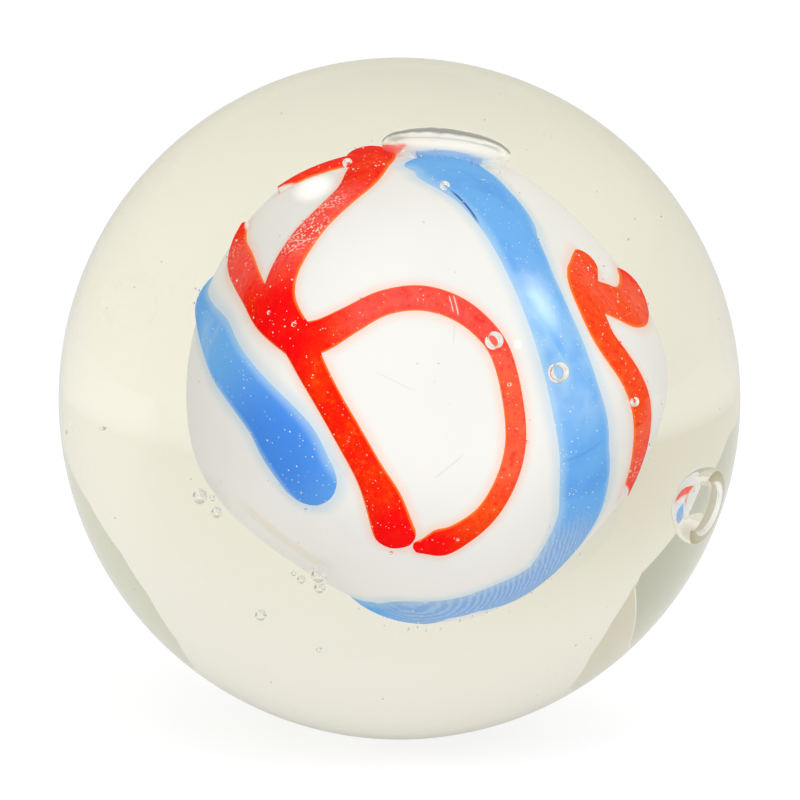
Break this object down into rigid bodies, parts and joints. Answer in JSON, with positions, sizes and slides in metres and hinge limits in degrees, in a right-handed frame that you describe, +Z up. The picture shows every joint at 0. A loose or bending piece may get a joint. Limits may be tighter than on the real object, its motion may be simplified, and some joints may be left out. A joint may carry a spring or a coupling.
{
  "type": "glass marble",
  "caption": "Handmade glass ball with an opaque white core, red and blue glass threads trailed over it, a clear casing and a few trapped air bubbles.",
  "frame": {"origin": "centre of the clear glass ball", "axes": "+Z up as it is looked at, -Y towards the front, where the looped red thread lies, +X to the right seen from the front"},
  "size_m": [0.035, 0.035, 0.035],
  "materials": {
    "clear_glass": "fire-polished and clear, with a faint warm tint, a few air bubbles and fine seed",
    "white_glass": "opaque white, smooth, with faint folds and hairlines in it",
    "red_glass": "opaque orange red, thinning to orange at its edges, with fine white specks",
    "blue_glass": "opaque cornflower blue, drawn out in fine lengthways streaks, with white specks"
  },
  "bodies": {
    "root": {"clear_casing": "clear_glass", "white_core": "white_glass", "red_looped_thread": "red_glass", "red_forked_thread": "red_glass", "blue_thread": "blue_glass"}
  },
  "joints": []
}
